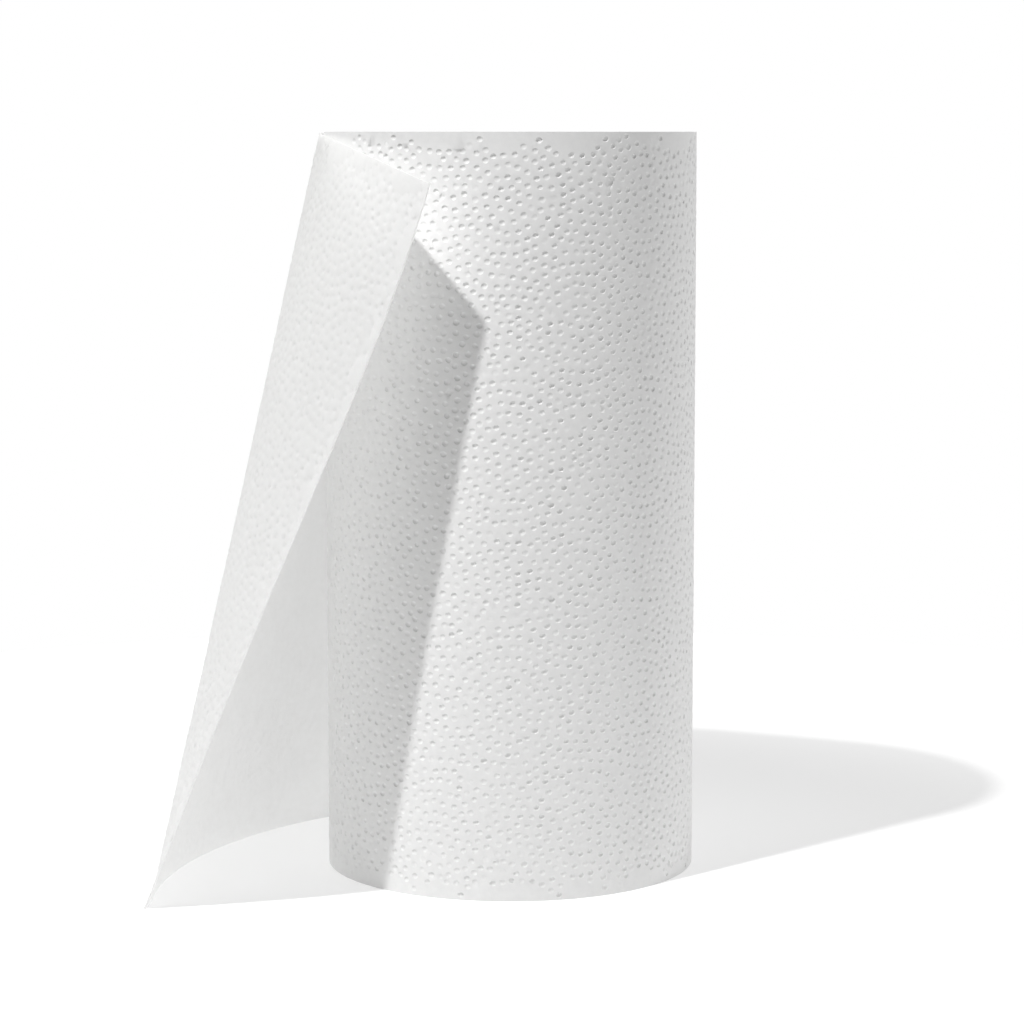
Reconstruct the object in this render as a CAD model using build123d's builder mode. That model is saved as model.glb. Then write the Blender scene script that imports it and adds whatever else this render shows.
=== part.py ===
"""A kitchen paper towel roll, standing on its end with its first sheet peeled off.

Three pieces: the cardboard core tube, the web of paper wound on it, and the loose sheet,
which is still joined to the web along its perforation line. Millimetres, +Z up. The origin
is on the roll's axis, in the plane that it stands on, and +Y points to the roll's back.
"""
import os
from math import cos, degrees, hypot, radians, sin

from build123d import *

# Roll
ROLL_HEIGHT = 230.0          # width of the web, and length of the core
ROLL_DIAMETER = 116.0        # over the outermost turn, at the perforation line
PAPER_THICKNESS = 0.5        # two embossed plies

# Core
CORE_BORE_DIAMETER = 40.0
CORE_WALL = 1.0

# Loose sheet
SHEET_LENGTH = 230.0         # from its perforation line to its free edge
PEEL_AZIMUTH = 63.0          # degrees: where the sheet leaves the roll, counterclockwise from +X
LEVEL_TOP_SPARE = 2.0        # what the upper edge would gain if it ran on level to the end

# The sheet swings round the roll in tangent bends. Its lower edge swings wider than its upper
# edge, so the sheet leans out. Radii and lengths are in roll radii, so that the sheet clears a
# roll of any size, and turns are in degrees, counterclockwise. The side stretch has no turn of
# its own: it is as long as the sheet allows.
FLOOR_BENDS = ((2.5, 24.0), (0.76, 48.0), (2.35, 12.0))
TOP_BENDS = ((10.0, 4.5), (0.47, 66.0), (0.51, 22.5))
FLOOR_SIDE_RADIUS = 2.6
TOP_SIDE_RADIUS = 1.85
FLOOR_END = (-1.37, 0.23)    # radius and length: the lower corner curls back outwards
TOP_END = (1.68, 1.14)

# Worked out
ROLL_RADIUS = ROLL_DIAMETER / 2
TURN_BELOW_RADIUS = ROLL_RADIUS - PAPER_THICKNESS
CORE_OUTER_RADIUS = CORE_BORE_DIAMETER / 2 + CORE_WALL
PEEL_DIRECTION = Vector(cos(radians(PEEL_AZIMUTH)), sin(radians(PEEL_AZIMUTH)))
PEEL_HEADING = PEEL_DIRECTION.rotate(Axis.Z, 90)


def edge_arcs(bends, side_radius, end, length):
    """Signed radius and signed turn of each arc along one edge of the sheet."""
    arcs = [(radius * ROLL_RADIUS, turn) for radius, turn in bends]
    end_radius, end_length = (size * ROLL_RADIUS for size in end)
    side_length = length - end_length - sum(radius * radians(turn) for radius, turn in arcs)
    arcs.append((side_radius * ROLL_RADIUS, degrees(side_length / side_radius / ROLL_RADIUS)))
    arcs.append((end_radius, degrees(end_length / end_radius)))
    return arcs


def section_side(arcs, outward):
    """One side of the sheet's section: tangent arcs, this far outward of its inner side."""
    sides = []
    point, heading = PEEL_DIRECTION * (TURN_BELOW_RADIUS + outward), PEEL_HEADING
    for radius, turn in arcs:
        sides.append(JernArc(point, heading, abs(radius + outward), turn))
        point, heading = sides[-1] @ 1, sides[-1] % 1
    return sides


def sheet_section(arcs, height):
    """The sheet's level section at one height, and where its free end is."""
    with BuildSketch(Plane.XY.offset(height)) as section:
        with BuildLine():
            inner = section_side(arcs, 0)
            outer = section_side(arcs, PAPER_THICKNESS)
            Line(inner[0] @ 0, outer[0] @ 0)
            Line(inner[-1] @ 1, outer[-1] @ 1)
        make_face()
    return section.sketch, inner[-1] @ 1


# Core tube: plain cardboard, as long as the web is wide
with BuildPart() as core_tube:
    with BuildSketch():
        Circle(CORE_OUTER_RADIUS)
        Circle(CORE_BORE_DIAMETER / 2, mode=Mode.SUBTRACT)
    extrude(amount=ROLL_HEIGHT)
core_tube.part.label = "core_tube"

# Wound towel: its outermost turn is a spiral of four quarter turns, each larger by a quarter
# of the paper's thickness. It ends in a step one sheet high, where the loose sheet begins.
with BuildPart() as wound_towel:
    with BuildSketch():
        with BuildLine():
            step_foot = PEEL_DIRECTION * TURN_BELOW_RADIUS
            point, heading = step_foot, PEEL_HEADING
            for quarter in range(4):
                quarter_radius = TURN_BELOW_RADIUS + quarter * PAPER_THICKNESS / 4
                arc = JernArc(point, heading, quarter_radius, 90)
                point, heading = arc @ 1, arc % 1
            Line(point, step_foot)
        make_face()
        Circle(CORE_OUTER_RADIUS, mode=Mode.SUBTRACT)
    extrude(amount=ROLL_HEIGHT)
wound_towel.part.label = "wound_towel"

# Loose sheet: a leaning strip. Its free edge leans and is no longer than the web is wide, so
# the upper edge sinks towards that corner, in an arc that starts level at the roll's side.
floor_arcs = edge_arcs(FLOOR_BENDS, FLOOR_SIDE_RADIUS, FLOOR_END, SHEET_LENGTH)
top_arcs = edge_arcs(TOP_BENDS, TOP_SIDE_RADIUS, TOP_END, SHEET_LENGTH + LEVEL_TOP_SPARE)
with BuildPart() as loose_sheet:
    floor_section, floor_corner = sheet_section(floor_arcs, 0)
    top_section, top_corner = sheet_section(top_arcs, ROLL_HEIGHT)
    loft([floor_section, top_section], ruled=True)

    free_edge_lean = hypot(top_corner.X - floor_corner.X, top_corner.Y - floor_corner.Y)
    sink = ROLL_HEIGHT * (1 - ROLL_HEIGHT / hypot(ROLL_HEIGHT, free_edge_lean))
    sink_radius = (top_corner.Y**2 + sink**2) / (2 * sink)
    with BuildSketch(Plane.YZ.offset(-2 * ROLL_DIAMETER)):
        with Locations((0, ROLL_HEIGHT)):
            Rectangle(sink_radius, sink_radius, align=(Align.MAX, Align.MAX))
        with Locations((0, ROLL_HEIGHT - sink_radius)):
            Circle(sink_radius, mode=Mode.SUBTRACT)
    extrude(amount=4 * ROLL_DIAMETER, mode=Mode.SUBTRACT)
loose_sheet.part.label = "loose_sheet"

os.makedirs("parts", exist_ok=True)
for piece in (core_tube, wound_towel, loose_sheet):
    export_step(piece.part, f"parts/{piece.part.label}.step")
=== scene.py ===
"""Looks for the paper towel roll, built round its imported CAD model. Metres, +Z up.

The web of paper is one long strip. A place on it is (u, z): u runs along the web from the
loose sheet's perforation line towards its free edge, and z is the height on the roll. Shapes
are worked out in millimetres, and add_mesh turns them into metres.
"""
from math import ceil, cos, floor, pi, radians, sin

import bpy
import numpy as np
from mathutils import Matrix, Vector
from mathutils.geometry import delaunay_2d_cdt


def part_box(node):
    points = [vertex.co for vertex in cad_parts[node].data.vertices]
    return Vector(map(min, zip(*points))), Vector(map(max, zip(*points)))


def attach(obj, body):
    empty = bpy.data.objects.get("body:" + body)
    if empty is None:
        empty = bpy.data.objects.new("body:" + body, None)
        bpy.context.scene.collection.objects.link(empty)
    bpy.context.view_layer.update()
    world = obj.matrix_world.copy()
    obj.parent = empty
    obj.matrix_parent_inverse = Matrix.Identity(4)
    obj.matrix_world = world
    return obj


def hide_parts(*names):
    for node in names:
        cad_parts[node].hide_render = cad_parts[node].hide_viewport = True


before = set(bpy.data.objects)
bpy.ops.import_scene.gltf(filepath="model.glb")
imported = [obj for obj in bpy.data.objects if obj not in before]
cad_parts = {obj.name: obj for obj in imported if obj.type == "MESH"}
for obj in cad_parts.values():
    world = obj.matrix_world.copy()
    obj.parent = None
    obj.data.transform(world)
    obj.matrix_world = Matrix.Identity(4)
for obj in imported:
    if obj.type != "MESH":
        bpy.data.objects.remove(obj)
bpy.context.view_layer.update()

MM = 0.001
TURN = 2 * pi

# ---------------------------------------------------------------- sizes shared with the CAD
web_low, web_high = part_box("wound_towel")
core_low, core_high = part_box("core_tube")
HEIGHT = (web_high.z - web_low.z) / MM
CORE_R = (core_high.x - core_low.x) / 2 / MM
BORE_R = 20.0
PAPER = 0.5                    # two embossed plies
ROLL_R = 58.0                  # over the outermost turn, at the perforation line
TURN_BELOW_R = ROLL_R - PAPER
ONE_TURN = TURN * TURN_BELOW_R
PEEL = radians(63.0)           # azimuth where the loose sheet leaves the roll
SHEET = 230.0                  # from one perforation line to the next
TOP_SPARE = 2.0                # extra length of the upper edge's line, taken up at its free end

# Bends of the loose sheet's lower and upper edge, as (radius in roll radii, degrees), then the
# radius of its side stretch, and the radius and length of its free end.
FLOOR_EDGE = (((2.5, 24.0), (0.76, 48.0), (2.35, 12.0)), 2.6, (-1.37, 0.23))
TOP_EDGE = (((10.0, 4.5), (0.47, 66.0), (0.51, 22.5)), 1.85, (1.68, 1.14))
EDGE_OVERRUN = 8.0             # past the free edge, so that the slack has somewhere to go
ARC_STEPS = 48
HALVINGS = 26                  # of the search for a place on the ruled surface

# ---------------------------------------------------------------- slack of the loose sheet
SLACK_FROM = 120.0             # the free end's slack starts here, along the web
BELLY = 6.8                    # along the web
BOW, TOP_BOW = 7.8, 2.6        # forward, over the free edge's height and at its top
BOW_RISE = 0.716               # below 1, so that the bow is widest under mid height
DRAWN_IN, LIFTED = 1.5, 1.0    # of the top edge, along its side stretch
END_DRAWN_IN, END_LIFTED = -0.9, 0.6   # what the free end adds to them

# ---------------------------------------------------------------- embossing
RING_PITCH = 3.25              # between the dot rings of one group
GROUP_RINGS = 7
DOT_PITCH = 3.05               # along a ring
RING_TWIST, ROW_TWIST, COLUMN_TWIST = 2.4, 1.1, 0.7   # where a ring's first dot is, radians
GROUP_PITCH = 44.0             # between neighbouring groups
GROUP_OVERLAP = 0.9            # how much nearer to the next group a dot may be than to its own
ROW_PITCH = GROUP_PITCH * sin(pi / 3)
FIRST_ROW_Z = 58.0
FIRST_GROUP_U = 22.0
LEAST_GAP = 2.45               # two dots nearer than this become one
EDGE_MARGIN = 1.35             # no dot centre nearer to a cut edge
LONGEST_LINK = 8.0             # dots further apart than this aren't neighbours
WIDE_GAP = 2.75                # a round gap of this radius between dots gets a dot
LEAST_GAP_AREA = 4.0           # a flat sliver of a gap doesn't
NEW_DOT_GAP = 3.0              # between two such new dots
DRIFT = 0.4                    # share of the way to the neighbours' middle that a dot moves
DRIFT_MARGIN = 3.0             # a dot nearer to a cut edge stays where it is
DOT_SHAKE, SHAKE_SEED = 0.14, 4000

# Relief where the web is tight on the roll, and on the loose sheet, whose plies are no longer
# pressed together. A ring is (radius, points). The rim's drop has a fixed part, and a share of
# the pit's depth.
TIGHT = {"depth": 0.26, "uneven": 0.30, "deepest": 0.43, "pit_ring": (0.60, 7),
         "rim_ring": (0.90, 9), "rim_drop": (0.02, 0.0), "pillow": 0.055}
SOFT = {"depth": 0.32, "uneven": 0.25, "deepest": 0.42, "pit_ring": (0.42, 5),
        "rim_ring": (0.80, 6), "rim_drop": (0.03, 0.06), "pillow": 0.10}
SHALLOWEST = 0.08
PIT_SPREAD, RIM_SPREAD = 0.06, 0.05   # unevenness of the rings' radius
PIT_WIDTH = 1.12               # along the web, over across it
PILLOW_SPREAD = 0.4
BACK_RING, BACK_BUMP = (0.75, 4), 0.15   # on the loose sheet's inner face

# ---------------------------------------------------------------- edges of a sheet
BOND, BOND_PITCH = 1.0, 5.0    # what holds two sheets together, along a perforation line
SLIT_OPEN, SLIT_END = 0.11, 0.7
EDGE_STEP = 2.2                # between the points of a plain edge
EDGE_ROUND = 0.10              # how far the rounded edge stands out


# ---------------------------------------------------------------- where the dots are
def thinned(points, least):
    """The points in order, without any that is nearer than least to one kept before it."""
    alive = np.ones(len(points), bool)
    for i in range(len(points)):
        if alive[i]:
            near = np.abs(points[i + 1:] - points[i]).max(axis=1) < least
            near[near] = np.hypot(*(points[i + 1:][near] - points[i]).T) < least
            alive[i + 1:][near] = False
    return points[alive]


def neighbours(points):
    """Triangles that join neighbouring flat points, without the long ones along the border."""
    out = delaunay_2d_cdt([tuple(p) for p in points], [], [], 0, 1e-6, True)
    tri = np.array([[out[3][i][0] for i in face] for face in out[2]])
    corners = points[tri]
    longest = np.linalg.norm(corners - np.roll(corners, 1, axis=1), axis=2).max(axis=1)
    return tri[longest < LONGEST_LINK]


def gap_middles(points):
    """Middles of the wide gaps between the points, none too near to another."""
    a, b, c = points[neighbours(points)].transpose(1, 0, 2)
    area = np.abs((b - a)[:, 0] * (c - a)[:, 1] - (b - a)[:, 1] * (c - a)[:, 0]) / 2
    sides = np.prod([np.linalg.norm(p - q, axis=1) for p, q in ((a, b), (b, c), (c, a))], axis=0)
    wide = (sides > 4 * area * WIDE_GAP) & (area > LEAST_GAP_AREA)
    gaps = ((a + b + c) / 3)[wide]
    taken = np.zeros(len(gaps), bool)
    for i, gap in enumerate(gaps):
        taken[i] = not (np.hypot(*(gaps[:i][taken[:i]] - gap).T) < NEW_DOT_GAP).any()
    return gaps[taken]


def even_out(points, u_low, u_high):
    """Put a dot in each wide gap, then let every dot drift towards its neighbours' middle."""
    for fill in (True, True, False):
        if fill:
            points = np.concatenate([points, gap_middles(points)])
        tri = neighbours(points)
        total, count = np.zeros_like(points), np.zeros(len(points))
        for i, j in ((0, 1), (1, 2), (2, 0)):
            for here, there in ((tri[:, i], tri[:, j]), (tri[:, j], tri[:, i])):
                np.add.at(total, here, points[there])
                np.add.at(count, here, 1)
        low = np.array([u_low + DRIFT_MARGIN, DRIFT_MARGIN])
        high = np.array([u_high - DRIFT_MARGIN, HEIGHT - DRIFT_MARGIN])
        inside = ((points > low) & (points < high)).all(axis=1) & (count > 0)
        points[inside] += DRIFT * (total[inside] / count[inside, None] - points[inside])
    return points


def dot_groups(u_low, u_high):
    """Dots of all ring groups that reach this stretch: places, group numbers, group centres."""
    found, owner, centres = [], [], []
    rows = range(-2, ceil((HEIGHT - FIRST_ROW_Z) / ROW_PITCH) + 2)
    columns = range(floor((u_low - FIRST_GROUP_U) / GROUP_PITCH) - 1,
                    ceil((u_high - FIRST_GROUP_U) / GROUP_PITCH) + 2)
    for row in rows:
        stagger = GROUP_PITCH / 2 if row % 2 else 0.0
        for column in columns:
            u = FIRST_GROUP_U + column * GROUP_PITCH + stagger
            z = FIRST_ROW_Z + row * ROW_PITCH
            group = [(u, z)]
            for ring in range(1, GROUP_RINGS + 1):
                radius = ring * RING_PITCH
                count = round(TURN * radius / DOT_PITCH)
                first = RING_TWIST * ring + ROW_TWIST * row + COLUMN_TWIST * column
                for i in range(count):
                    a = first + TURN * i / count
                    group.append((u + radius * cos(a), z + radius * sin(a)))
            found += group
            owner += [len(centres)] * len(group)
            centres.append((u, z))
    return np.array(found), np.array(owner), np.array(centres)


def dots(u_low, u_high):
    """Centres of the embossed dots on this stretch of the web: staggered groups of rings."""
    found, owner, centres = dot_groups(u_low, u_high)
    low = np.array([u_low + EDGE_MARGIN, EDGE_MARGIN])
    high = np.array([u_high - EDGE_MARGIN, HEIGHT - EDGE_MARGIN])
    inside = ((found > low) & (found < high)).all(axis=1)
    found, owner = found[inside], owner[inside]
    away = np.hypot(*(found[:, None] - centres[None]).transpose(2, 0, 1))
    own = away[np.arange(len(found)), owner]
    keep = own <= away.min(axis=1) + GROUP_OVERLAP
    found, own = found[keep], own[keep]
    found = thinned(found[np.argsort(own, kind="stable")], LEAST_GAP)
    found = thinned(even_out(found, u_low, u_high), LEAST_GAP)
    rng = np.random.default_rng(round(u_low) + SHAKE_SEED)
    found += rng.normal(0, DOT_SHAKE, found.shape)
    return np.clip(found, low, high)


# ---------------------------------------------------------------- relief, as (u, z, height)
def with_height(points, height):
    return np.c_[points, np.full(len(points), height)]


def rings(centres, radius, count, height, rng, spread=0.0, width=1.0):
    """Points on a ring round each centre. height has one value for each centre."""
    turn = rng.random(len(centres))[:, None] * TURN
    a = turn + np.arange(count)[None] * TURN / count
    r = (radius * (1 + spread * rng.normal(0, 1, len(centres))))[:, None]
    u, z = centres[:, :1] + width * r * np.cos(a), centres[:, 1:] + r * np.sin(a)
    h = np.repeat(np.asarray(height)[:, None], count, axis=1)
    return np.stack([u, z, h], axis=2).reshape(-1, 3)


def embossed(centres, seed, style, sharp_rims):
    """Relief of a pitted face, and the loops of it that stay sharp round its pits."""
    rng = np.random.default_rng(seed)
    depth = np.clip(style["depth"] * rng.normal(1.0, style["uneven"], len(centres)),
                    SHALLOWEST, style["deepest"])
    fixed, share = style["rim_drop"]
    pits = rings(centres, *style["pit_ring"], -depth, rng, PIT_SPREAD, PIT_WIDTH)
    rims = rings(centres, *style["rim_ring"], -fixed - share * depth, rng, RIM_SPREAD, PIT_WIDTH)
    between = centres[neighbours(centres)].mean(axis=1)
    swell = np.clip(rng.normal(1.0, PILLOW_SPREAD, len(between)), 0.0, 2.0)
    pillows = np.c_[between, style["pillow"] * swell]
    loops = None
    if sharp_rims:
        loops = len(pits) + np.arange(len(rims)).reshape(-1, style["rim_ring"][1])
    return np.concatenate([pits, rims, pillows]), loops


def bumped(centres, seed):
    """Relief of the loose sheet's inner face: each pit shows through as a faint bump."""
    around = rings(centres, *BACK_RING, np.zeros(len(centres)), np.random.default_rng(seed))
    return np.concatenate([around, with_height(centres, -BACK_BUMP)])


def coarse_grid(u_low, u_high, du=4.0, dz=57.5):
    """A plain face, with just enough points to follow the roll's curve."""
    u, z = np.meshgrid(np.arange(u_low + du, u_high - du / 2, du), np.arange(dz, HEIGHT - 1, dz))
    return np.c_[u.ravel(), z.ravel(), 0 * u.ravel()]


# ---------------------------------------------------------------- outline of a sheet
def perforated(u, side):
    """Edge points up a perforation line at u. Slits open to that side, between the bonds."""
    points = []
    for k in range(round(HEIGHT / BOND_PITCH)):
        z = k * BOND_PITCH
        for dz, push in ((0.0, 0.0), (BOND, 0.0), (BOND + SLIT_END, 1.0),
                         (BOND_PITCH - SLIT_END, 1.0)):
            points.append((u + side * push * SLIT_OPEN, z + dz))
    return points[1:]


def straight(a, b):
    """Points from a towards b, without b."""
    a, b = np.array(a, float), np.array(b, float)
    n = max(1, round(np.linalg.norm(b - a) / EDGE_STEP))
    return [tuple(a + (b - a) * i / n) for i in range(n)]


def sheet_outline(u_low, u_high):
    """Loop of flat points round a stretch of the web, with both ends perforated."""
    low_end = perforated(u_low, 1)
    high_end = perforated(u_high, -1)
    loop = straight((u_low, 0), (u_high, 0)) + [(u_high, 0.0)] + high_end
    loop += straight((u_high, HEIGHT), (u_low, HEIGHT)) + [(u_low, HEIGHT)] + low_end[::-1]
    return np.array(loop)


# ---------------------------------------------------------------- where the web goes
def roll_point(u, z):
    """Inner side of the outermost turn, which ends where the loose sheet begins, at u = 0."""
    a = PEEL + TURN * u / ONE_TURN
    r = TURN_BELOW_R + PAPER * u / ONE_TURN
    # the roll is a little out of round at mid height, but not at its perforation line
    swell = 0.10 * np.sin(3 * a + 0.6) * np.sin(pi * z / HEIGHT) * np.clip(-u / 20, 0, 1)
    return np.stack([(r + swell) * np.cos(a), (r + swell) * np.sin(a), z + 0 * a], axis=-1)


def edge_line(edge, length):
    """Flat points along one edge of the loose sheet, and the run length at each."""
    bends, side_radius, (end_radius, end_length) = edge
    arcs = [(radius * ROLL_R, radians(turn)) for radius, turn in bends]
    side = length - end_length * ROLL_R - sum(r * t for r, t in arcs)
    arcs.append((side_radius * ROLL_R, side / (side_radius * ROLL_R)))
    arcs.append((end_radius * ROLL_R, end_length / end_radius))
    arcs.append((end_radius * ROLL_R, EDGE_OVERRUN / (end_radius * ROLL_R)))
    point = TURN_BELOW_R * np.array([cos(PEEL), sin(PEEL)])
    heading, run = PEEL + pi / 2, 0.0
    points, runs = [point], [run]
    for radius, turn in arcs:
        for _ in range(ARC_STEPS):
            dt = turn / ARC_STEPS
            mid = heading + dt / 2
            point = point + 2 * radius * sin(dt / 2) * np.array([cos(mid), sin(mid)])
            heading, run = heading + dt, run + radius * dt
            points.append(point)
            runs.append(run)
    return np.array(points), np.array(runs)


floor_line, floor_run = edge_line(FLOOR_EDGE, SHEET)
top_line, top_run = edge_line(TOP_EDGE, SHEET + TOP_SPARE)
rank = np.arange(len(floor_run), dtype=float)    # one ruling for each pair of edge points
end_starts, end_stops, last = (n * ARC_STEPS for n in (4, 5, 6))
top_run -= np.interp(rank, [0, end_starts, end_stops, last], [0, 0, TOP_SPARE, TOP_SPARE])
floor_3d = np.c_[floor_line, np.zeros(len(floor_line))]
# each ruling leans from the lower edge to the upper one, and is as long as the flat sheet's
lean = np.c_[top_line - floor_line, np.full(len(floor_line), HEIGHT)]
lean *= (np.hypot(HEIGHT, top_run - floor_run) / np.linalg.norm(lean, axis=1))[:, None]


def ruled_point(u, z):
    """Inner side of the loose sheet: straight rulings join its lower edge to its upper one."""
    v = z / HEIGHT
    low, high = np.zeros_like(u), np.full_like(u, rank[-1])
    for _ in range(HALVINGS):
        mid = (low + high) / 2
        run = (1 - v) * np.interp(mid, rank, floor_run) + v * np.interp(mid, rank, top_run)
        low, high = np.where(run < u, mid, low), np.where(run < u, high, mid)
    line = np.stack([np.interp(low, rank, c) for c in floor_3d.T], axis=-1)
    rise = np.stack([np.interp(low, rank, c) for c in lean.T], axis=-1)
    return line + rise * v[..., None]


def smooth_step(t):
    t = np.clip(t, 0, 1)
    return t * t * (3 - 2 * t)


def sheet_point(u, z):
    """The loose sheet with its slack: its free end bows forward, and its top edge draws in."""
    v = np.clip(z / HEIGHT, 0, 1)
    near_end = np.clip((u - SLACK_FROM) / (SHEET - SLACK_FROM), 0, 1.1) ** 2
    belly = BELLY * near_end * np.sin(pi * v) ** 0.8 * np.clip(1.5 * v - 0.25, 0, 1)
    point = ruled_point(u + belly, z)
    point[..., 1] -= near_end * (TOP_BOW * v ** 3 + BOW * np.sin(pi * v ** BOW_RISE) ** 1.6)
    drawn_in = smooth_step((u - 20) / 70) * v ** 4
    lifted = smooth_step((u - 100) / 40) * v ** 4
    point[..., 0] += (DRAWN_IN + END_DRAWN_IN * near_end) * drawn_in
    point[..., 2] += (LIFTED + END_LIFTED * near_end) * lifted
    return point


def place(where, flat):
    """3-D points of (u, z, height) points: height is measured outward from the web's inner side."""
    u, z, h = flat.T
    e = 0.4                    # half the span that a slope is taken over
    along = where(u + e, z) - where(u - e, z)
    up = where(u, z + e) - where(u, z - e)
    out = np.cross(along, up)
    out /= np.linalg.norm(out, axis=1)[:, None]
    return where(u, z) + out * h[:, None]


# ---------------------------------------------------------------- meshes
def mark_sharp(mesh, loops):
    """Keep the edges sharp that run round these loops of vertex numbers."""
    pairs = np.concatenate([np.stack([loop, np.roll(loop, -1, axis=-1)], axis=-1).reshape(-1, 2)
                            for loop in loops])
    pairs.sort(axis=1)
    ends = np.zeros(len(mesh.edges) * 2, np.int32)
    mesh.edges.foreach_get("vertices", ends)
    ends = np.sort(ends.reshape(-1, 2), axis=1).astype(np.int64)
    size = len(mesh.vertices)  # turns a pair of vertex numbers into one number
    wanted = pairs[:, 0].astype(np.int64) * size + pairs[:, 1]
    mesh.edges.foreach_set("use_edge_sharp", np.isin(ends[:, 0] * size + ends[:, 1], wanted))


def add_mesh(name, points, faces, material, sharp_loops=()):
    """A smooth object of millimetre points."""
    mesh = bpy.data.meshes.new(name)
    mesh.from_pydata((np.asarray(points) * MM).tolist(), [], faces)
    mesh.update()
    mesh.shade_smooth()
    if sharp_loops:
        mark_sharp(mesh, sharp_loops)
    obj = bpy.data.objects.new(name, mesh)
    bpy.context.scene.collection.objects.link(obj)
    mesh.materials.append(material)
    return obj


def triangulate(points, edge_count):
    """Triangles of the flat points, inside the loop made by the first edge_count of them."""
    coords = [tuple(p) for p in points]
    out = delaunay_2d_cdt(coords, [], [list(range(edge_count))], 1, 1e-6, True)
    source = np.array([ids[0] for ids in out[3]])
    triangles = source[np.array([tuple(face) for face in out[2]])]
    # a triangle in a notch of the loop has the loop's points in clockwise order
    a, b, c = points[np.sort(triangles, axis=1)].transpose(1, 0, 2)
    clockwise = (b - a)[:, 0] * (c - a)[:, 1] < (b - a)[:, 1] * (c - a)[:, 0]
    notch = (triangles < edge_count).all(axis=1) & clockwise
    return [tuple(t) for t in triangles[~notch].tolist()]


def add_sheet(name, outline, relief, inner, where, material):
    """A closed sheet of paper: an outer face, an inner face and the rounded edge between them."""
    outer, rims = relief
    n = len(outline)
    out_flat = np.concatenate([with_height(outline, PAPER), outer + [0, 0, PAPER]])
    in_flat = np.concatenate([with_height(outline, 0.0), inner])
    from_middle = outline - outline.mean(axis=0)
    at_border = np.abs(from_middle) > np.abs(from_middle).max(axis=0) - 1
    rounded = outline + EDGE_ROUND * (np.sign(from_middle) * at_border)
    rounded[:, 1] = np.clip(rounded[:, 1], 0, HEIGHT)
    rim_flat = with_height(rounded, PAPER / 2)
    faces = triangulate(out_flat[:, :2], n)
    base = len(out_flat)
    faces += [(base + a, base + c, base + b) for a, b, c in triangulate(in_flat[:, :2], n)]
    rim = base + len(in_flat)
    for i in range(n):
        j = (i + 1) % n
        faces.append((i, rim + i, rim + j, j))
        faces.append((rim + i, base + i, base + j, rim + j))
    points = place(where, np.concatenate([out_flat, in_flat, rim_flat]))
    loops = [np.arange(n), base + np.arange(n)]
    if rims is not None:
        loops.append(n + rims)
    return add_mesh(name, points, faces, material, loops)


# ---------------------------------------------------------------- materials
def add_node(tree, kind, inputs=None, **settings):
    """A node with these settings. An input's value is a number or colour, or a socket to link."""
    node = tree.nodes.new(kind)
    for key, value in settings.items():
        setattr(node, key, value)
    for key, value in (inputs or {}).items():
        if isinstance(value, bpy.types.NodeSocket):
            tree.links.new(value, node.inputs[key])
        else:
            node.inputs[key].default_value = value
    return node


def shader_material(name, kind, inputs):
    """A material with one shader of this kind: the material, its node tree, shader and output."""
    material = bpy.data.materials.new(name)
    material.use_nodes = True
    tree = material.node_tree
    tree.nodes.clear()
    out = tree.nodes.new("ShaderNodeOutputMaterial")
    shader = add_node(tree, kind, inputs)
    tree.links.new(shader.outputs[0], out.inputs["Surface"])
    return material, tree, shader, out


def object_place(tree):
    return add_node(tree, "ShaderNodeTexCoord").outputs["Object"]


def noise(tree, space, scale, detail, roughness=0.5):
    return add_node(tree, "ShaderNodeTexNoise", {
        "Vector": space, "Scale": scale, "Detail": detail, "Roughness": roughness}).outputs["Fac"]


def colour_mix(tree, share, dark, light):
    mix = add_node(tree, "ShaderNodeMix", data_type="RGBA")
    share_in, dark_in, light_in = (mix.inputs[i] for i in (0, 6, 7))   # its colour sockets
    tree.links.new(share, share_in)
    dark_in.default_value, light_in.default_value = (*dark, 1), (*light, 1)
    return mix.outputs[2]


def bump(tree, height, strength, distance, below=None):
    inputs = {"Height": height, "Strength": strength, "Distance": distance}
    if below:
        inputs["Normal"] = below
    return add_node(tree, "ShaderNodeBump", inputs).outputs[0]


def paper_material(name, dark, light, through=0.0):
    """Soft creped paper. through is the share of light that a single loose sheet lets pass."""
    material, tree, shader, out = shader_material(name, "ShaderNodeBsdfPrincipled", {
        "Roughness": 0.92, "Specular IOR Level": 0.2, "Sheen Weight": 0.08,
        "Sheen Roughness": 0.6})
    space = object_place(tree)
    fibre_space = add_node(tree, "ShaderNodeMapping", {
        "Vector": space, "Scale": (1.0, 1.0, 0.35)}).outputs[0]
    crepe = noise(tree, fibre_space, 2400.0, 4.0, 0.6)
    cloud = noise(tree, space, 420.0, 5.0, 0.62)
    wrinkle = noise(tree, space, 130.0, 3.0)
    tone = add_node(tree, "ShaderNodeMapRange", {
        "Value": cloud, "From Min": 0.3, "From Max": 0.7, "To Min": 0.0,
        "To Max": 1.0}).outputs["Result"]
    colour = colour_mix(tree, tone, dark, light)
    tree.links.new(colour, shader.inputs["Base Color"])
    normal = bump(tree, crepe, 0.35, 0.00006)
    normal = bump(tree, cloud, 0.4, 0.00012, normal)
    normal = bump(tree, wrinkle, 0.35, 0.00025, normal)
    tree.links.new(normal, shader.inputs["Normal"])
    if through:
        behind = add_node(tree, "ShaderNodeBsdfTranslucent", {"Color": colour, "Normal": normal})
        sheet = add_node(tree, "ShaderNodeMixShader", {
            0: through, 1: shader.outputs[0], 2: behind.outputs[0]})
        tree.links.new(sheet.outputs[0], out.inputs["Surface"])
    return material


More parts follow.
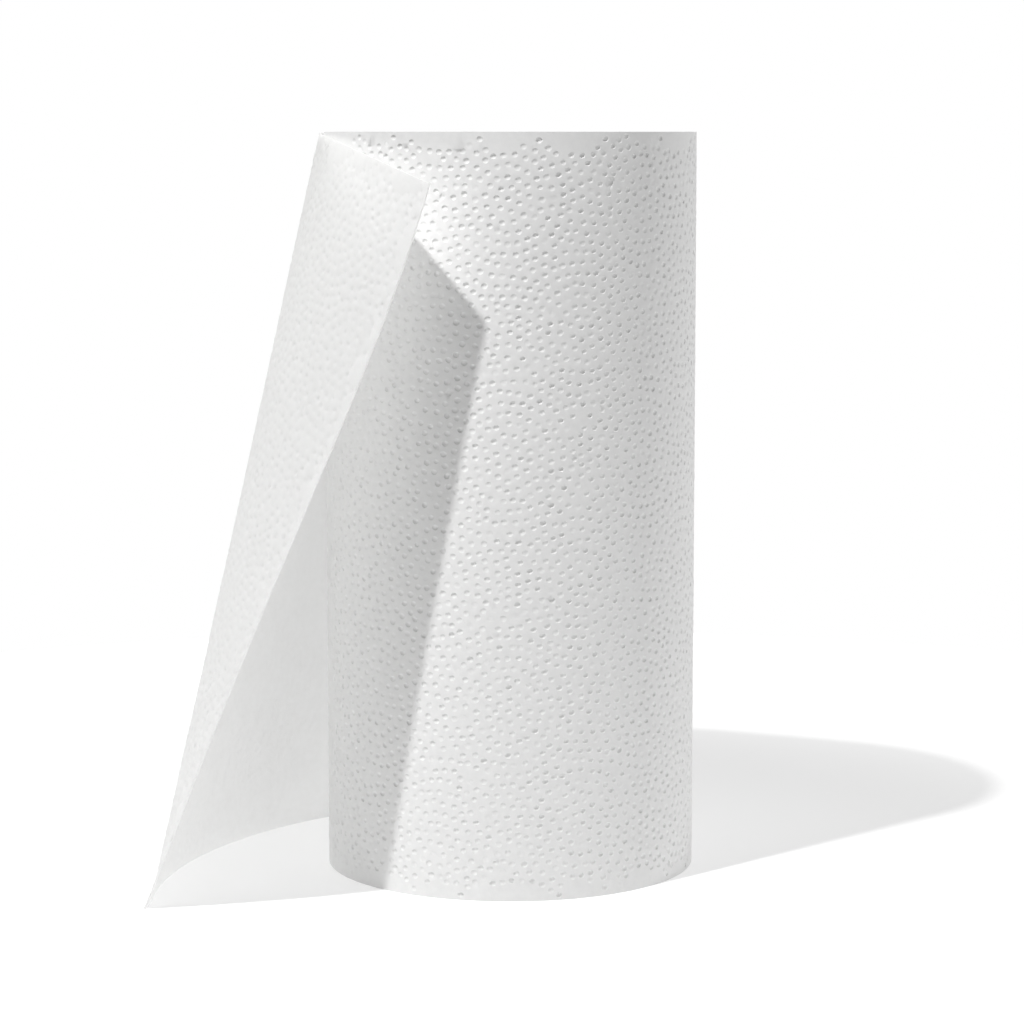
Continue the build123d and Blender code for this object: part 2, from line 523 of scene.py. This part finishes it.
def board_material():
    material, tree, shader, _ = shader_material("core_board", "ShaderNodeBsdfPrincipled", {
        "Roughness": 0.85, "Specular IOR Level": 0.25})
    space = object_place(tree)
    fibre = noise(tree, space, 900.0, 6.0, 0.7)
    fleck = noise(tree, space, 260.0, 4.0)
    colour = colour_mix(tree, fleck, (0.47, 0.36, 0.25), (0.62, 0.50, 0.37))
    tree.links.new(colour, shader.inputs["Base Color"])
    tree.links.new(bump(tree, fibre, 0.5, 0.0001), shader.inputs["Normal"])
    return material


paper = paper_material("towel_paper", (0.82, 0.82, 0.817), (0.86, 0.86, 0.855))
loose_paper = paper_material("loose_towel_paper", (0.955, 0.955, 0.952), (0.985, 0.985, 0.982),
                             through=0.71)
board = board_material()

# ---------------------------------------------------------------- loose sheet
loose_dots = dots(0, SHEET)
loose = add_sheet("loose_sheet_paper", sheet_outline(0, SHEET),
                  embossed(loose_dots, 21, SOFT, sharp_rims=False), bumped(loose_dots, 11),
                  sheet_point, loose_paper)

# ---------------------------------------------------------------- outermost turn: two more sheets
second, third = (
    add_sheet(name, sheet_outline(start, end),
              embossed(dots(start, end), seed, TIGHT, sharp_rims=True),
              coarse_grid(start, end), roll_point, paper)
    for name, start, end, seed in (("second_sheet_paper", -SHEET, 0, 22),
                                   ("third_sheet_paper", -ONE_TURN, -SHEET, 23)))


# ---------------------------------------------------------------- inner turns
def wound_turns():
    """The web below its outermost turn: one ribbon, wound from the core outward."""
    turns = round((TURN_BELOW_R - PAPER - CORE_R) / PAPER)
    per_turn, knots_per_turn = 112, 9
    k = np.arange(turns * per_turn + 1)
    back_turns = turns - k / per_turn
    a = PEEL - back_turns * TURN
    r_out = TURN_BELOW_R - back_turns * PAPER
    rng = np.random.default_rng(31)
    # the winding is slightly out of round, but not at the core or right under the outermost turn
    share = (r_out - CORE_R) / (TURN_BELOW_R - CORE_R)
    wave = 0.22 * np.sin(2 * a + 3.0 * share) + 0.12 * np.sin(5 * a + 1.3 - 4 * share)
    r_out = r_out + wave * np.sin(pi * np.clip(share, 0, 1)) ** 2
    knots = np.arange(0, turns * knots_per_turn + 2) / knots_per_turn

    def drift(size):
        """A random unevenness along the ribbon."""
        return np.interp(turns - back_turns, knots, np.abs(rng.normal(0, size, len(knots))))
    # thinner than its pitch, so that the turns show on the end faces
    thick = 0.43 - np.clip(drift(0.03), 0, 0.1)
    top = HEIGHT - drift(0.16) - 0.05
    low = drift(0.16) + 0.05
    r_in, soft = r_out - thick, 0.14   # soft is the height of the rounding at each edge
    ring = [(r_out, low + soft), (r_out, top - soft), ((r_out + r_in) / 2, top),
            (r_in, top - soft), (r_in, low + soft), ((r_out + r_in) / 2, low)]
    points = np.stack([np.stack([r * np.cos(a), r * np.sin(a), z], axis=1) for r, z in ring],
                      axis=1)
    m = len(ring)
    start = k[:-1] * m
    faces = []
    for j in range(m):
        i = (j + 1) % m
        faces.append(np.stack([start + j, start + m + j, start + m + i, start + i], axis=1))
    faces = [tuple(f) for f in np.concatenate(faces).tolist()]
    faces.append(tuple(range(m)))
    faces.append(tuple(int(k[-1] * m + j) for j in range(m))[::-1])
    return points.reshape(-1, 3), faces


turns = add_mesh("wound_turns_paper", *wound_turns(), paper)


# ---------------------------------------------------------------- core
def close_end(points, outer, inner, up):
    """Faces between one end's two rings. Their columns differ, so they are joined by angle."""
    past_end = 99.0            # an angle beyond any other

    def in_order(ring):
        angle = np.mod(np.arctan2(points[ring][:, 1], points[ring][:, 0]), TURN)
        order = np.argsort(angle)
        return ring[order], np.append(angle[order], [angle[order[0]] + TURN, past_end])
    (outer, outer_at), (inner, inner_at) = in_order(outer), in_order(inner)
    faces, p, q = [], 0, 0
    while p < len(outer) or q < len(inner):
        a, b = outer[p % len(outer)], inner[q % len(inner)]
        if outer_at[p + 1] <= inner_at[q + 1]:
            p += 1
            tri = (a, outer[p % len(outer)], b)
        else:
            q += 1
            tri = (a, inner[q % len(inner)], b)
        faces.append(tuple(int(x) for x in (tri if up else tri[::-1])))
    return faces


def core_mesh():
    """Cardboard tube wound from a spiral strip, whose edges leave a shallow seam in and out."""
    strip_pitch, wall_r, chamfer = 72.0, 20.5, 0.25
    seam_half = 1.1
    seam = np.array([-seam_half, -0.45, -0.12, 0.12, 0.45, seam_half]) / wall_r
    plain = np.linspace(seam_half / wall_r, TURN - seam_half / wall_r, 58)[1:-1]
    columns = np.concatenate([seam, plain])
    dip = np.concatenate([[0, 0.02, 0.16, 0.16, 0.02, 0], np.zeros(len(plain))])
    rows = np.concatenate([[0.0, chamfer], np.linspace(4, HEIGHT - 4, 44),
                           [HEIGHT - chamfer, HEIGHT]])
    round_in = np.zeros(len(rows))
    round_in[[0, -1]] = chamfer
    points = []
    for radius, way, shift in ((CORE_R, -1, 0.0), (BORE_R, 1, pi)):
        for z, soft in zip(rows, round_in):
            a = columns + TURN * z / strip_pitch + shift
            r = radius + way * (dip + soft)
            points.append(np.stack([r * np.cos(a), r * np.sin(a), np.full(len(a), z)], axis=1))
    points = np.concatenate(points)
    n, m = len(columns), len(rows)
    faces = []
    for side in (0, 1):
        for i in range(m - 1):
            for j in range(n):
                below, above = (side * m + i) * n, (side * m + i + 1) * n
                q = (below + j, below + (j + 1) % n, above + (j + 1) % n, above + j)
                faces.append(q if side == 0 else q[::-1])
    bottom_rings = (np.arange(n), m * n + np.arange(n))
    top_rings = ((m - 1) * n + np.arange(n), (2 * m - 1) * n + np.arange(n))
    faces += close_end(points, *top_rings, True) + close_end(points, *bottom_rings, False)
    return points, faces, [*bottom_rings, *top_rings]


core_points, core_faces, core_loops = core_mesh()
core = add_mesh("core_board_tube", core_points, core_faces, board, core_loops)

# ---------------------------------------------------------------- each piece goes under the root, and the CAD part that it replaces is hidden
for piece, node, slot in ((loose, "loose_sheet", "towel_paper"),
                          (second, "wound_towel", "towel_paper"),
                          (third, "wound_towel", "towel_paper"),
                          (turns, "wound_towel", "towel_paper"),
                          (core, "core_tube", "core_board")):
    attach(piece, "root")
    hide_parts(node)


# ---------------------------------------------------------------- stage
def floor_material():
    """Pale floor. It glows more, and gives less bounce light, further from the roll."""
    material, tree, shader, _ = shader_material("studio_floor", "ShaderNodeBsdfPrincipled", {
        "Roughness": 1.0, "Specular IOR Level": 0.0, "Emission Color": (1, 1, 1, 1)})
    away = add_node(tree, "ShaderNodeVectorMath", {0: object_place(tree)},
                    operation="LENGTH").outputs["Value"]
    for socket, near, far, at_near, at_far in (("Base Color", 0.12, 0.25, 0.62, 0.40),
                                               ("Emission Strength", 0.13, 0.38, 0.47, 1.0)):
        level = add_node(tree, "ShaderNodeMapRange", {
            "Value": away, "From Min": near, "From Max": far, "To Min": at_near,
            "To Max": at_far}, interpolation_type="SMOOTHSTEP").outputs["Result"]
        tree.links.new(level, shader.inputs[socket])
    return material


def disc(name, radii, z, material, sides=96):
    """A flat disc with a ring of points at each radius."""
    angles = np.linspace(0, TURN, sides, endpoint=False)
    points = [(0.0, 0.0, z)]
    for r in radii:
        points += [(r * cos(a), r * sin(a), z) for a in angles]
    faces = [(0, 1 + i, 1 + (i + 1) % sides) for i in range(sides)]
    for k in range(len(radii) - 1):
        within, beyond = 1 + sides * k, 1 + sides * (k + 1)
        faces += [(within + i, beyond + i, beyond + (i + 1) % sides, within + (i + 1) % sides)
                  for i in range(sides)]
    return add_mesh(name, np.array(points), faces, material)


def dome(name, radius, material, rows=12, sides=24):
    """A sphere round everything."""
    points, faces = [], []
    for i in range(rows + 1):
        e = -pi / 2 + pi * i / rows
        for j in range(sides):
            a = TURN * j / sides
            points.append((radius * cos(e) * cos(a), radius * cos(e) * sin(a), radius * sin(e)))
    for i in range(rows):
        for j in range(sides):
            low, high, k = sides * i, sides * (i + 1), (j + 1) % sides
            faces.append((low + j, high + j, high + k, low + k))
    return add_mesh(name, np.array(points), faces, material)


studio_floor = disc("studio_floor", (45.0, 180.0, 450.0), -0.02, floor_material())
white = shader_material("studio_backdrop", "ShaderNodeEmission",
                        {"Color": (1, 1, 1, 1), "Strength": 1.0})[0]
backdrop = dome("studio_backdrop", 8000.0, white)
for flag in ("visible_diffuse", "visible_glossy", "visible_transmission",
             "visible_volume_scatter", "visible_shadow"):
    setattr(backdrop, flag, False)

# ---------------------------------------------------------------- light
# a small high lamp at the front left, and broad soft lobes of sky, each
# (direction, how narrow it is, strength)
SKY = (((0, 0, 1), 1, 0.27), ((0, 1, 0), 1, 0.45), ((-1, 0, 0), 1, 0.08), ((1, 0, 0), 1, 0.78),
       ((-0.8, 0.6, 0), 4, 1.2), ((0.8, 0.6, 0), 4, 0.5))
world = bpy.data.worlds.new("studio")
bpy.context.scene.world = world
world.use_nodes = True
tree = world.node_tree
tree.nodes.clear()
sky_out = tree.nodes.new("ShaderNodeOutputWorld")
sky = tree.nodes.new("ShaderNodeBackground")
tree.links.new(sky.outputs[0], sky_out.inputs["Surface"])
direction = add_node(tree, "ShaderNodeTexCoord").outputs["Generated"]
total = None
for way, narrow, strength in SKY:
    lobe = add_node(tree, "ShaderNodeVectorMath", {0: direction, 1: way},
                    operation="DOT_PRODUCT").outputs["Value"]
    for operation, number in (("MAXIMUM", 0.0), ("POWER", narrow), ("MULTIPLY", strength)):
        lobe = add_node(tree, "ShaderNodeMath", {0: lobe, 1: number},
                        operation=operation).outputs[0]
    if total is None:
        total = lobe
    else:
        total = add_node(tree, "ShaderNodeMath", {0: total, 1: lobe}, operation="ADD").outputs[0]
tree.links.new(total, sky.inputs["Strength"])

key_light = bpy.data.lights.new("key", "AREA")
key_light.shape = "DISK"
key_light.size = 0.03
key_light.energy = 7.8
key = bpy.data.objects.new("key", key_light)
bpy.context.scene.collection.objects.link(key)
key.location = (-0.3125, -0.3838, 0.970)
key.rotation_mode = "QUATERNION"
KEY_AIM = Vector((0.0, 0.0, 0.1))
key.rotation_quaternion = (KEY_AIM - key.location).to_track_quat("-Z", "Y")

# ---------------------------------------------------------------- camera
CAMERA_AWAY = 0.9661
CAMERA_DOWN = 7.0206           # degrees below level
lens = bpy.data.cameras.new("camera")
lens.lens, lens.sensor_width = 108.555, 36.0
lens.clip_end = 100.0
camera = bpy.data.objects.new("camera", lens)
bpy.context.scene.collection.objects.link(camera)
camera.location = (0.00065, -CAMERA_AWAY, web_high.z)   # level with the roll's top face
camera.rotation_euler = (radians(90 - CAMERA_DOWN), 0, 0)
bpy.context.scene.camera = camera
bpy.context.scene.view_settings.view_transform = "Standard"
